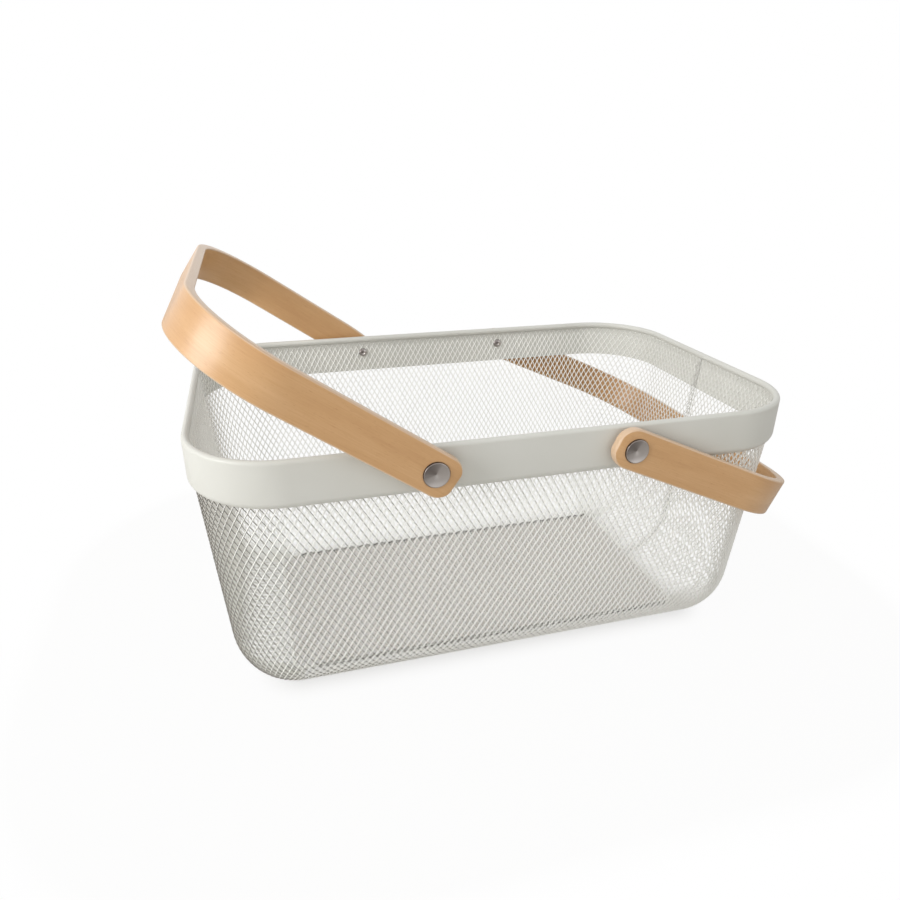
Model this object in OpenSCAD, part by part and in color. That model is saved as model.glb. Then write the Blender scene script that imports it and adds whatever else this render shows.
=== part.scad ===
// Wire basket: a painted rim band, expanded-metal walls and floor, and two bentwood handles.
// The origin is the middle of the underside, X runs along the basket, Y across it and Z up.

/* [Basket] */
// Length over the rim band
basket_length = 380; // [320:5:440]
// Depth over the rim band
basket_depth = 235; // [200:5:280]
// Height of the rim above the underside
basket_height = 175.5; // [155:0.5:200]
// Corner radius of the rim, seen from above
corner_radius = 54; // [52:1:62]
// Lean of the walls from upright, in degrees
wall_lean = 4.6; // [4:0.1:5]
// Radius that turns the walls into the foot
foot_radius = 42.5; // [38:0.5:43]
// Slope of the foot where it meets the floor panel, in degrees
foot_slope = 10; // [8:1:16]

/* [Rim band] */
// Height of the band
band_height = 28.5; // [27:0.5:34]
// Thickness of the band's sheet
band_sheet = 1.2; // [0.8:0.1:1.6]
// Diameter of the rolled bead along the top
bead_diameter = 4.4; // [3.6:0.1:5]
// Radius of the lower edge where it turns inwards
band_turn_radius = 5; // [4:0.5:6]

/* [Mesh] */
// Thickness of the expanded sheet
mesh_sheet = 1.2; // [0.8:0.1:1.5]
// Width of a strand
strand_width = 2.2; // [1.6:0.1:2.6]
// Width of a diamond, about
diamond_width = 16.5; // [15:0.5:24]
// Height of a diamond, about
diamond_height = 22.5; // [20:0.5:30]
// Drop from the band's top to the mesh's upper edge
mesh_drop = 7; // [6:0.5:8]
// Height of the folded edge of the floor panel
floor_fold_height = 3; // [2:0.2:3.4]
// Width of the weld strip over the seam
seam_width = 5; // [4:0.5:8]
// Thickness of the weld strip
seam_sheet = 0.8; // [0.6:0.1:1.2]

/* [Handles] */
// Reach of a handle from its rivets to its outer face
handle_reach = 150; // [142:0.5:158]
// Width of the strap
strap_width = 25; // [22:0.5:26]
// Thickness of the strap
strap_thickness = 5; // [4:0.2:6]
// Outer radius of the strap's two bends
bend_radius = 58.5; // [50:0.5:64]
// How far a level handle's outer face reaches past the end of the band
handle_overhang = 19.5; // [17:0.5:22]
// Drop from the band's top to the rivets
rivet_drop = 13.5; // [12.5:0.5:15]
// Angle of the left handle above level
left_rest_angle = 35; // [0:1:60]

/* [Rivets] */
// Diameter of a rivet's shank
shank_diameter = 5; // [4:0.5:6]
// Diameter of the dished cap
cap_diameter = 14; // [12:0.5:18]
// Thickness of the cap at its edge
cap_thickness = 1.8; // [1.4:0.1:2.4]
// Depth of the dish in the cap
dish_depth = 1.1; // [0.6:0.1:1.1]
// Diameter of the domed head inside the band
head_diameter = 7; // [6.5:0.5:9]
// Height of the domed head
head_height = 2.2; // [1.6:0.1:2.6]
// Diameter of the washer behind the strap
washer_diameter = 16; // [12:0.5:20]
// Thickness of the washer
washer_thickness = 2.5; // [1.5:0.1:3]

/* [Fits] */
// Radial clearance of a rivet in its holes
running_clearance = 0.05; // [0.02:0.01:0.08]
// Side clearance of a strap between its washer and its cap
side_clearance = 0.1; // [0.05:0.05:0.3]
// Gap at which the right handle rests above the end wall
rest_gap = 4; // [0.5:0.5:6]
// Gap between sheets that are welded edge to edge
weld_gap = 0.1; // [0.05:0.05:0.2]

/* [Hidden] */
$fn = 64;
paint = [0.85, 0.85, 0.82];
beech = [0.80, 0.62, 0.42];
steel = [0.68, 0.67, 0.66];
nylon = [0.90, 0.89, 0.86];

// Centres of the four rim corners
centre_x = basket_length / 2 - corner_radius;
centre_y = basket_depth / 2 - corner_radius;

// Section of the mesh: a leaning wall, then an arc that ends on the floor panel's edge.
// Radii are measured from a corner's centre, to the middle of the sheet.
mesh_top_z = basket_height - mesh_drop;
mesh_top_radius = corner_radius - band_sheet - mesh_sheet / 2 - weld_gap;
foot_arc_z = foot_radius * cos(foot_slope) + mesh_sheet / 2;
wall_run = (mesh_top_z - foot_arc_z + foot_radius * sin(wall_lean)) / cos(wall_lean);
wall_foot_radius = mesh_top_radius - wall_run * sin(wall_lean);
foot_arc_radius = wall_foot_radius - foot_radius * cos(wall_lean);
foot_arc_angle = 90 - wall_lean - foot_slope;
foot_end_radius = foot_arc_radius + foot_radius * sin(foot_slope);

// Half diamonds along each stretch, always an even number
function even_steps(run, size) = max(2, 2 * round(run / size));
long_steps = even_steps(2 * centre_x, diamond_width);
short_steps = even_steps(2 * centre_y, diamond_width);
corner_steps = even_steps(wall_foot_radius * PI / 2, diamond_width);
wall_rows = even_steps(wall_run, diamond_height);
foot_rows = even_steps(foot_radius * foot_arc_angle * PI / 180, diamond_height);
row_run = wall_run / wall_rows;

// Share of a half diamond that a strand takes up at each junction
function strand_share(across, along) =
    strand_width * norm([across, along]) / (2 * across * along);

// Rivets, which put each handle's cross-piece past the end of the band
rivet_offset = basket_length / 2 + handle_overhang - handle_reach;
rivet_z = basket_height - rivet_drop;

// Rivet stack, measured outwards from the band's outer face
strap_inner = washer_thickness + side_clearance;
strap_outer = strap_inner + strap_thickness;
cap_seat = strap_outer + side_clearance;
handle_half_width = basket_depth / 2 + strap_outer;

// Angle of the right handle below level. The lower inner edge of its cross-piece stops
// short of the end wall, as far along the strap and as far below its middle as this:
rest_along = handle_reach - strap_thickness;
rest_below = strap_width / 2;
rest_distance = centre_x + mesh_outside_at(rivet_z) + rest_gap - rivet_offset;
right_rest_angle = acos(rest_distance * cos(wall_lean) / norm([rest_along, rest_below]))
    + wall_lean - atan(rest_below / rest_along);

// A plate outline with round corners about the four corner centres
module plate(radius) {
    square([2 * (centre_x + radius), 2 * centre_y], center = true);
    square([2 * centre_x, 2 * (centre_y + radius)], center = true);
    for (x = [-centre_x, centre_x], y = [-centre_y, centre_y])
        translate([x, y]) circle(radius);
}

// Sweeps a section, drawn outwards from a corner's centre, once round the basket
module sweep_round() {
    for (side = [-1, 1]) {
        rotate([0, 0, side > 0 ? 180 : 0])
            translate([-centre_x, -centre_y, 0]) rotate([90, 0, 90])
                linear_extrude(2 * centre_x) mirror([1, 0]) children();
        rotate([0, 0, 90 * side])
            translate([-centre_y, -centre_x, 0]) rotate([90, 0, 90])
                linear_extrude(2 * centre_y) mirror([1, 0]) children();
        for (end = [-1, 1])
            translate([side * centre_x, end * centre_y, 0])
                rotate([0, 0, side > 0 ? (end > 0 ? 0 : -90) : (end > 0 ? 90 : 180)])
                    rotate_extrude(angle = 90) children();
    }
}

// Section of the band: bead, upright sheet and turned-in lower edge
module band_section() {
    outer = corner_radius;
    turn_z = basket_height - band_height + band_turn_radius * sin(band_turn_angle());
    translate([outer - bead_diameter / 2, basket_height - bead_diameter / 2])
        circle(d = bead_diameter);
    translate([outer - band_sheet, turn_z])
        square([band_sheet, basket_height - bead_diameter / 2 - turn_z]);
    translate([outer - band_turn_radius, turn_z]) intersection() {
        difference() {
            circle(band_turn_radius);
            circle(band_turn_radius - band_sheet);
        }
        polygon([
            [0, 0],
            [2 * band_turn_radius, 0],
            [2 * band_turn_radius, -2 * band_turn_radius],
            2 * band_turn_radius * [cos(band_turn_angle()), -sin(band_turn_angle())]
        ]);
    }
}

// Radius of the wall's outside at a height
function mesh_outside_at(z) =
    mesh_top_radius - (mesh_top_z - z) * tan(wall_lean) + mesh_sheet / 2 / cos(wall_lean);

// The lower edge turns until the inner corner of its tip meets the outside of the wall
function band_turn_angle() =
    acos((mesh_outside_at(basket_height - band_height + band_sheet) + weld_gap
        - corner_radius + band_turn_radius) / (band_turn_radius - band_sheet));

// Puts a shape at each rivet of one side (-1 left, 1 right) and face (-1 front, 1 back).
// The shape's Z axis points outwards from the band's outer face.
module at_rivet(side, face) {
    translate([side * rivet_offset, face * basket_depth / 2, rivet_z])
        rotate([face < 0 ? 90 : -90, 0, 0]) children();
}

module rim_band() {
    color(paint) difference() {
        sweep_round() band_section();
        for (side = [-1, 1], face = [-1, 1])
            at_rivet(side, face)
                translate([0, 0, -2 * band_sheet])
                    cylinder(h = 3 * band_sheet, d = shank_diameter + 2 * running_clearance);
    }
}

// Diamond openings over a field of half diamonds, one opening at each even point
module diamonds(columns, rows, across, along) {
    share = 1 - strand_share(across, along);
    for (i = [0:columns], j = [0:rows])
        if ((i + j) % 2 == 0)
            translate([i * across, -j * along])
                polygon([
                    [-share * across, 0], [0, -share * along],
                    [share * across, 0], [0, share * along]
                ]);
}

// Flat expanded wall between two corners, standing in front of the basket's middle
module wall_panel(half_run, steps, centre_offset) {
    across = 2 * half_run / steps;
    translate([-half_run, -(centre_offset + mesh_top_radius), mesh_top_z])
        rotate([90 + wall_lean, 0, 0])
            translate([0, 0, -mesh_sheet / 2])
                linear_extrude(mesh_sheet) difference() {
                    translate([0, -wall_run]) square([2 * half_run, wall_run]);
                    diamonds(steps, wall_rows, across, row_run);
                }
}

// The long walls are pierced round the rivet heads
module long_wall(face) {
    color(paint) difference() {
        rotate([0, 0, face > 0 ? 180 : 0]) wall_panel(centre_x, long_steps, centre_y);
        for (side = [-1, 1])
            at_rivet(side, face)
                translate([0, 0, -8 * mesh_sheet])
                    cylinder(h = 8 * mesh_sheet, d = head_diameter + 6 * weld_gap);
    }
}

module end_wall(side) {
    color(paint) rotate([0, 0, 90 * side]) wall_panel(centre_y, short_steps, centre_x);
}

// Point of the mesh's section: run is measured down the sheet, offset is outwards
function section_point(run, offset) =
    run <= wall_run
    ? [
        mesh_top_radius - run * sin(wall_lean) + offset * cos(wall_lean),
        mesh_top_z - run * cos(wall_lean) - offset * sin(wall_lean)
    ]
    : let (angle = wall_lean + (run - wall_run) / foot_radius * 180 / PI)
        [
            foot_arc_radius + (foot_radius + offset) * cos(angle),
            foot_arc_z - (foot_radius + offset) * sin(angle)
        ];

// Run down the section at a row: the wall's rows, then the foot's
function row_to_run(row) =
    row <= wall_rows
    ? row * row_run
    : wall_run + (row - wall_rows) / foot_rows * foot_radius * foot_arc_angle * PI / 180;

// Expanded sheet bent over a surface. The point function takes a column, a row and an
// offset outwards. Every odd grid point is a junction with a corner to each side of it,
// and strands run from junction to junction on both slants.
module bent_mesh(columns, first_row, rows, share, point) {
    function is_junction(i, j) = (i + j) % 2 == 1;
    function inside(i, j) = i >= 0 && i <= columns && j >= 0 && j <= rows;
    function base(i, j) = 8 * floor((j * (columns + 1) + i) / 2);
    function clamp(value, high) = min(max(value, 0), high);
    junctions = [for (j = [0:rows], i = [0:columns]) if (is_junction(i, j)) [i, j]];
    corners = [[share, 0], [0, share], [-share, 0], [0, -share]];
    points = [
        for (spot = junctions, offset = [mesh_sheet / 2, -mesh_sheet / 2], corner = corners)
            point(
                clamp(spot.x + corner.x, columns),
                first_row + clamp(spot.y + corner.y, rows),
                offset
            )
    ];
    // Corner numbers of a junction: 0 right, 1 down, 2 left, 3 up, and 4 more on the inside.
    // Each junction is split across the border that cuts it in half.
    quads = [
        for (spot = junctions)
            let (
                here = base(spot.x, spot.y),
                at_side = spot.x == 0 || spot.x == columns,
                right = base(spot.x + 1, spot.y + 1),
                left = base(spot.x - 1, spot.y + 1),
                has_right = inside(spot.x + 1, spot.y + 1),
                has_left = inside(spot.x - 1, spot.y + 1),
                has_up_right = inside(spot.x + 1, spot.y - 1),
                has_up_left = inside(spot.x - 1, spot.y - 1)
            )
            each concat(
                at_side
                    ? [[here, here + 1, here + 2, here + 3], [here + 4, here + 7, here + 6, here + 5]]
                    : [[here + 1, here + 2, here + 3, here], [here + 7, here + 6, here + 5, here + 4]],
                has_right ? strand(here, here + 1, right + 2, right + 3) : [edge(here, here + 1)],
                has_left ? strand(here + 1, here + 2, left + 3, left) : [edge(here + 1, here + 2)],
                has_up_left ? [] : [edge(here + 2, here + 3)],
                has_up_right ? [] : [edge(here + 3, here)]
            )
    ];
    triangles = [for (quad = quads) each [
        [quad[0], quad[1], quad[2]],
        [quad[0], quad[2], quad[3]]
    ]];
    polyhedron(points, triangles);
}

// Side face below the outer edge from one corner to the next
function edge(from, to) = [to, from, from + 4, to + 4];

// Four faces of a strand that leaves a junction between two of its corners
function strand(from, to, far_to, far_from) = [
    [from, far_from, far_to, to],
    [to + 4, far_to + 4, far_from + 4, from + 4],
    [far_from, from, from + 4, far_from + 4],
    [to, far_to, far_to + 4, to + 4]
];

// Wall and foot at the back right corner, turned about the corner's centre
module corner_mesh() {
    step = 90 / corner_steps;
    share = strand_share(wall_foot_radius * step * PI / 180, row_run);
    translate([centre_x, centre_y, 0])
        bent_mesh(corner_steps, 0, wall_rows + foot_rows, share, function(column, row, offset)
            let (spot = section_point(row_to_run(row), offset))
            [spot[0] * cos(column * step), spot[0] * sin(column * step), spot[1]]);
}

module corner(side, face) {
    color(paint)
        mirror([side < 0 ? 1 : 0, 0, 0]) mirror([0, face < 0 ? 1 : 0, 0]) corner_mesh();
}

// Curved foot along one side, in front of the basket's middle
module foot_panel(half_run, steps, centre_offset) {
    across = 2 * half_run / steps;
    share = strand_share(across, row_run);
    bent_mesh(steps, wall_rows, foot_rows, share, function(column, row, offset)
        let (spot = section_point(row_to_run(row), offset))
        [column * across - half_run, -(centre_offset + spot[0]), spot[1]]);
}

module long_foot(face) {
    color(paint) rotate([0, 0, face > 0 ? 180 : 0]) foot_panel(centre_x, long_steps, centre_y);
}

module end_foot(side) {
    color(paint) rotate([0, 0, 90 * side]) foot_panel(centre_y, short_steps, centre_x);
}

// Flat expanded panel with its edge folded up inside the foot
module floor_mesh() {
    edge_radius = foot_end_radius - mesh_sheet / 2 * sin(foot_slope) - weld_gap;
    across = 2 * centre_x / long_steps;
    half_columns = ceil((centre_x + edge_radius) / across) + 1;
    half_rows = ceil((centre_y + edge_radius) / row_run);
    // One more row where it takes that to put a junction at the panel's middle
    middle_row = half_rows + (half_columns + half_rows + 1) % 2;
    color(paint) {
        linear_extrude(mesh_sheet) difference() {
            plate(edge_radius);
            translate([-half_columns * across, middle_row * row_run])
                diamonds(2 * half_columns, 2 * middle_row, across, row_run);
        }
        linear_extrude(floor_fold_height) difference() {
            plate(edge_radius);
            plate(edge_radius - mesh_sheet);
        }
    }
}

// Weld strip over the seam, on the inside of the right end wall
module seam_strip() {
    color(paint) rotate([0, 0, 90])
        translate([-seam_width / 2, -(centre_x + mesh_top_radius), mesh_top_z])
            rotate([90 + wall_lean, 0, 0])
                translate([0, -wall_run, -mesh_sheet / 2 - seam_sheet])
                    cube([seam_width, wall_run, seam_sheet]);
}

// Plan of a handle: a long U that opens towards the rivets
module handle_plan(inset) {
    half = handle_half_width - inset;
    reach = handle_reach - inset;
    bend = bend_radius - inset;
    translate([-strap_width, -half]) square([strap_width + reach - bend, 2 * half]);
    translate([0, bend - half]) square([reach, 2 * (half - bend)]);
    for (y = [bend - half, half - bend]) translate([reach - bend, y]) circle(bend);
}

// A handle that points along +X from the rivet axis and lies level
module handle() {
    difference() {
        intersection() {
            translate([0, 0, -strap_width / 2])
                linear_extrude(strap_width) difference() {
                    handle_plan(0);
                    handle_plan(strap_thickness);
                }
            rotate([90, 0, 0])
                translate([0, 0, -handle_half_width])
                    linear_extrude(2 * handle_half_width) {
                        circle(strap_width / 2);
                        translate([0, -strap_width / 2]) square([handle_reach, strap_width]);
                    }
        }
        rotate([90, 0, 0])
            cylinder(
                h = 3 * handle_half_width,
                d = shank_diameter + 2 * running_clearance,
                center = true
            );
    }
}

module left_handle() {
    color(beech) translate([-rivet_offset, 0, rivet_z])
        rotate([0, left_rest_angle, 0]) mirror([1, 0, 0]) handle();
}

module right_handle() {
    color(beech) translate([rivet_offset, 0, rivet_z])
        rotate([0, right_rest_angle, 0]) handle();
}

// Dished cap on the outer end of a rivet
module rivet_cap(side, face) {
    edge_radius = cap_diameter / 2;
    lip = cap_thickness / 4;
    color(steel) at_rivet(side, face) translate([0, 0, cap_seat])
        rotate_extrude() polygon([
            [0, 0],
            [edge_radius, 0],
            [edge_radius, cap_thickness - lip],
            [edge_radius - lip, cap_thickness],
            [0, cap_thickness - dish_depth]
        ]);
}

// Shank through the band, washer and strap, with a domed head inside the band
module rivet(side, face) {
    dome = (head_diameter * head_diameter / 4 + head_height * head_height) / (2 * head_height);
    color(steel) at_rivet(side, face) {
        translate([0, 0, -band_sheet]) cylinder(h = band_sheet + cap_seat, d = shank_diameter);
        translate([0, 0, -band_sheet]) intersection() {
            translate([0, 0, dome - head_height]) sphere(dome);
            translate([0, 0, -head_height]) cylinder(h = head_height, d = head_diameter);
        }
    }
}

module washer(side, face) {
    color(nylon) at_rivet(side, face) difference() {
        cylinder(h = washer_thickness, d = washer_diameter);
        translate([0, 0, -washer_thickness])
            cylinder(h = 3 * washer_thickness, d = shank_diameter + 2 * running_clearance);
    }
}

rim_band();
long_wall(-1);  // wall_mesh_front
long_wall(1);  // wall_mesh_back
end_wall(-1);  // wall_mesh_left
end_wall(1);  // wall_mesh_right
corner(-1, -1);  // wall_mesh_corner_front_left
corner(1, -1);  // wall_mesh_corner_front_right
corner(-1, 1);  // wall_mesh_corner_back_left
corner(1, 1);  // wall_mesh_corner_back_right
long_foot(-1);  // foot_mesh_front
long_foot(1);  // foot_mesh_back
end_foot(-1);  // foot_mesh_left
end_foot(1);  // foot_mesh_right
floor_mesh();
seam_strip();
left_handle();
right_handle();
rivet_cap(-1, -1);  // rivet_cap_front_left
rivet_cap(1, -1);  // rivet_cap_front_right
rivet_cap(-1, 1);  // rivet_cap_back_left
rivet_cap(1, 1);  // rivet_cap_back_right
rivet(-1, -1);  // rivet_front_left
rivet(1, -1);  // rivet_front_right
rivet(-1, 1);  // rivet_back_left
rivet(1, 1);  // rivet_back_right
washer(-1, -1);  // washer_front_left
washer(1, -1);  // washer_front_right
washer(-1, 1);  // washer_back_left
washer(1, 1);  // washer_back_right
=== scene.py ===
# %% [markdown]
# # A wire basket with two bentwood handles
# The basket is a painted steel band round the mouth, walls and a floor of expanded metal, and
# two beech straps that swing on four rivets. The CAD model gives every place and size. This
# script loads it as a fixed frame and dresses it: it builds the fine mesh, the bead, the rounded
# wood edges and the finishes that a CAD model leaves out.

import math

import bmesh
import bpy
from mathutils import Matrix, Vector


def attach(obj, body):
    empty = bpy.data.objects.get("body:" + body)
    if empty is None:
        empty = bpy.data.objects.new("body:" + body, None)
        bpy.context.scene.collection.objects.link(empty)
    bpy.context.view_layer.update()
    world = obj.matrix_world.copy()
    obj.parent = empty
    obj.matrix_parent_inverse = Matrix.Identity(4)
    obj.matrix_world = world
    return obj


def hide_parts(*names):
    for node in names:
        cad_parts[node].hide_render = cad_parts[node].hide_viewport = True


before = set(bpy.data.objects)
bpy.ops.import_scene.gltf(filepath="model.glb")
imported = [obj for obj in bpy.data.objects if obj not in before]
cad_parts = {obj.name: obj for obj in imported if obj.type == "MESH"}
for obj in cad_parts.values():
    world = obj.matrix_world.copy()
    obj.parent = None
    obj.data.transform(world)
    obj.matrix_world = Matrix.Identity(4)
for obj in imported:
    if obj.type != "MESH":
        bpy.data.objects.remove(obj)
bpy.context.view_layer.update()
scene = bpy.context.scene

# %% [markdown]
# ## Sizes
# All lengths here are in millimetres, as in the CAD source, and `MM` turns them into Blender's
# metres. The plan of the basket is a rounded rectangle. Each horizontal outline is measured from
# the same four corner centres, so one radius says how far out it lies.

# %% Sizes of the basket
MM = 0.001
LENGTH, DEPTH, HEIGHT = 380, 235, 175.5
CORNER_RADIUS = 54
CENTRE_X = LENGTH / 2 - CORNER_RADIUS
CENTRE_Y = DEPTH / 2 - CORNER_RADIUS
BAND_HEIGHT = 28.5
WALL_LEAN = math.radians(4.6)
FOOT_RADIUS = 42.5
FOOT_SLOPE = math.radians(10)
MESH_DROP, MESH_INSET, HALF_CAD_SHEET = 7, 1.9, 0.6
MESH_TOP_Z = HEIGHT - MESH_DROP
MESH_TOP_RADIUS = CORNER_RADIUS - MESH_INSET
RIVET_X, RIVET_DROP = 59.5, 13.5
RIVET_Z = HEIGHT - RIVET_DROP
print("corner centres at", CENTRE_X, CENTRE_Y)

# %% [markdown]
# ## The camera
# The place, the turn and the focal length come from a fit of the rim, the foot, the handles and
# the rivets to the photograph. The camera looks down at about 24 degrees from the left.

# %% Camera at the photograph's place
YAW, PITCH, ROLL = 0.2803, 0.4209, 0.0086
CAMERA_AT = Vector((-143.06, -441.19, 322.56)) * MM
FOCAL_PIXELS, PICTURE_PIXELS, SENSOR_WIDTH = 684.98, 900, 36


def aim_camera():
    flat = math.cos(PITCH)
    ahead = Vector((math.sin(YAW) * flat, math.cos(YAW) * flat, -math.sin(PITCH)))
    level = Vector((math.cos(YAW), -math.sin(YAW), 0))
    upright = level.cross(ahead)
    right = level * math.cos(ROLL) + upright * math.sin(ROLL)
    up = upright * math.cos(ROLL) - level * math.sin(ROLL)
    turn = Matrix((right, up, -ahead)).transposed().to_4x4()
    return Matrix.Translation(CAMERA_AT) @ turn


camera_data = bpy.data.cameras.new("camera")
camera_data.sensor_width = SENSOR_WIDTH
camera_data.lens = FOCAL_PIXELS / PICTURE_PIXELS * SENSOR_WIDTH
camera_data.clip_start, camera_data.clip_end = 0.01, 20
camera = bpy.data.objects.new("camera", camera_data)
camera.matrix_world = aim_camera()
scene.collection.objects.link(camera)
scene.camera = camera
scene.view_settings.view_transform = "Standard"
print("lens", round(camera_data.lens, 2), "mm")

# %% [markdown]
# ## Sums on sockets
# A node tree is easier to read as a sum than as a list of links. `Wire` holds one socket, and the
# usual operators on it add Math nodes. `Board.add` makes any other node: its settings are set
# first, then its sockets are given numbers or wires. It serves shader and geometry trees alike.


# %% A board of nodes and its wires
class Wire:
    def __init__(self, board, socket):
        self.board, self.socket = board, socket

    def apply(self, operation, *others):
        """A Math node with this wire as its first value."""
        return self.board.add("ShaderNodeMath", {"operation": operation}, [self, *others])

    def __add__(self, other):
        return self.apply("ADD", other)

    def __sub__(self, other):
        return self.apply("SUBTRACT", other)

    def __rsub__(self, other):
        return self.board.add("ShaderNodeMath", {"operation": "SUBTRACT"}, [other, self])

    def __mul__(self, other):
        return self.apply("MULTIPLY", other)

    def __truediv__(self, other):
        return self.apply("DIVIDE", other)

    __radd__, __rmul__ = __add__, __mul__

    def at_most(self, other):
        return self.apply("MINIMUM", other)

    def at_least(self, other):
        return self.apply("MAXIMUM", other)

    def step_between(self, low, high):
        """0 below low, 1 above high, and a smooth step from one to the other."""
        return self.board.add(
            "ShaderNodeMapRange", {"interpolation_type": "SMOOTHSTEP"},
            {"Value": self, "From Min": low, "From Max": high})

    def out(self, name):
        """Another output of the node that this wire comes from."""
        return Wire(self.board, self.socket.node.outputs[name])


class Board:
    def __init__(self, tree):
        self.tree = tree

    def add(self, kind, settings=None, inputs=None, output=0):
        node = self.tree.nodes.new(kind)
        for name, value in (settings or {}).items():
            if name == "stops":
                made = node.color_ramp.elements
                while len(made) < len(value):
                    made.new(0.5)
                for stop, (place, colour) in zip(made, value):
                    stop.position, stop.color = place, (*colour, 1)
            else:
                setattr(node, name, value)
        pairs = enumerate(inputs) if isinstance(inputs, list) else (inputs or {}).items()
        for name, value in pairs:
            socket = node.inputs[name]
            if isinstance(value, Wire):
                self.tree.links.new(value.socket, socket)
            else:
                socket.default_value = value
        return Wire(self, node.outputs[output]) if node.outputs else node


print("boards and wires are ready")

# %% [markdown]
# A few sums come back often: taking a vector apart and joining it again, the length of two
# parts, a noise pattern, a colour ramp, a bump, and a plain colour that covers another by a share.


# %% Sums that come back
def split(board, vector):
    parts = board.add("ShaderNodeSeparateXYZ", inputs=[vector])
    return parts, parts.out("Y"), parts.out("Z")


def join_parts(board, x, y, z):
    return board.add("ShaderNodeCombineXYZ", inputs=[x, y, z])


def length_of(x, y):
    return (x * x + y * y).apply("SQRT")


def noise(board, place, scale, detail):
    return board.add(
        "ShaderNodeTexNoise", inputs={"Vector": place, "Scale": scale, "Detail": detail})


def ramp(board, share, *stops):
    return board.add("ShaderNodeValToRGB", {"stops": stops}, [share])


def bump(board, height, strength, distance):
    return board.add(
        "ShaderNodeBump", inputs={"Strength": strength, "Distance": distance, "Height": height})


def covered(board, share, under, colour):
    """A colour that is covered by a plain one, by a share."""
    return board.add(
        "ShaderNodeMix", {"data_type": "RGBA"}, {0: share, 6: under, 7: (*colour, 1)}, output=2)


def linear(red, green, blue):
    """A colour read from a screen, 0 to 255, as the linear values that shaders use."""
    def channel(value):
        value /= 255
        return value / 12.92 if value <= 0.04045 else ((value + 0.055) / 1.055) ** 2.4
    return (channel(red), channel(green), channel(blue))


print("mid grey is", [round(value, 3) for value in linear(128, 128, 128)])

# %% [markdown]
# ## Floor and light
# The photograph is a cut-out on white. A pale floor takes the soft shadow close to the basket.
# Further out the camera sees it fade into a plain white, which lights nothing. A large soft lamp
# low on the left makes the left corner brighter than the front. One above and a weak one on the
# right fill in, and so does the white world.

# %% Floor, world and lamps, in metres
STAGE_HALF, STAGE_Z = 4, -0.0004
FOOT_HALF_X, FOOT_HALF_Y = 0.135, 0.065
WHITE = (1, 1, 1, 1)


def make_floor():
    data = bpy.data.meshes.new("floor")
    corners = ((-1, -1), (1, -1), (1, 1), (-1, 1))
    verts = [(x * STAGE_HALF, y * STAGE_HALF, STAGE_Z) for x, y in corners]
    data.from_pydata(verts, [], [(0, 1, 2, 3)])
    floor = bpy.data.objects.new("floor", data)
    scene.collection.objects.link(floor)
    material = bpy.data.materials.new("pale_floor")
    material.use_nodes = True
    board = Board(material.node_tree)
    material.node_tree.nodes.clear()
    x, y, unused = split(board, board.add("ShaderNodeTexCoord", output="Object"))
    beyond_x = (x.apply("ABSOLUTE") - FOOT_HALF_X).at_least(0)
    beyond_y = (y.apply("ABSOLUTE") - FOOT_HALF_Y).at_least(0)
    away = length_of(beyond_x, beyond_y)
    plain = board.add(
        "ShaderNodeBsdfPrincipled", inputs={"Base Color": (0.64, 0.625, 0.6, 1), "Roughness": 0.9})
    white = board.add("ShaderNodeEmission", inputs={"Color": WHITE, "Strength": 1})
    seen = board.add("ShaderNodeLightPath", output="Is Camera Ray")
    close_by, further_out = away.step_between(-0.02, 0.035) * 0.95, away.step_between(0.0, 0.2)
    share = close_by.at_least(further_out)
    mixed = board.add("ShaderNodeMixShader", inputs=[share * seen, plain, white])
    board.add("ShaderNodeOutputMaterial", inputs={"Surface": mixed})
    data.materials.append(material)


def make_world():
    """White where it is seen straight, in a gloss or through a gap, and a soft light otherwise."""
    world = bpy.data.worlds.new("studio")
    scene.world = world
    world.use_nodes = True
    board = Board(world.node_tree)
    world.node_tree.nodes.clear()
    path = board.add("ShaderNodeLightPath", output="Is Camera Ray")
    seen = path.at_least(path.out("Is Glossy Ray")).at_least(path.out("Is Transmission Ray"))
    soft = board.add("ShaderNodeBackground", inputs={"Color": (1, 0.99, 0.97, 1), "Strength": 0.53})
    white = board.add("ShaderNodeBackground", inputs={"Color": WHITE, "Strength": 1})
    mixed = board.add("ShaderNodeMixShader", inputs=[seen, soft, white])
    board.add("ShaderNodeOutputWorld", inputs={"Surface": mixed})


def add_lamp(name, place, size, watts):
    data = bpy.data.lights.new(name, "AREA")
    data.shape, data.size, data.energy = "DISK", size, watts
    lamp = bpy.data.objects.new(name, data)
    lamp.location = place
    aim = Vector((0, 0, 0.1)) - lamp.location
    lamp.rotation_euler = aim.to_track_quat("-Z", "Y").to_euler()
    scene.collection.objects.link(lamp)


make_floor()
make_world()
add_lamp("key", (-1.6, -0.45, 0.75), 1.0, 18)
add_lamp("top", (-0.4, -0.7, 1.8), 1.6, 7)
add_lamp("fill", (1.1, -1.5, 0.9), 1.2, 2.4)
print("floor, world and three lamps")

# %% [markdown]
# ## Powder coat
# The band and the mesh carry the same off-white powder coat. It is satin, with a very fine
# orange-peel bump and a slight change of tone from place to place. The cut sides of the strands
# carry an attribute "cut" that lays painted shade on them, darker where they face outward.


# %% Paint for the band, the mesh and the floor panel
def new_material(name):
    material = bpy.data.materials.new(name)
    material.use_nodes = True
    material.node_tree.nodes.clear()
    return material, Board(material.node_tree)


SOCKET_NAMES = {
    "colour": "Base Color", "roughness": "Roughness", "metallic": "Metallic", "normal": "Normal",
    "coat": "Coat Weight", "coat_roughness": "Coat Roughness", "specular": "Specular IOR Level"}


def finish_material(board, **sockets):
    inputs = {SOCKET_NAMES[name]: value for name, value in sockets.items()}
    shader = board.add("ShaderNodeBsdfPrincipled", inputs=inputs)
    board.add("ShaderNodeOutputMaterial", inputs={"Surface": shader})


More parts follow.
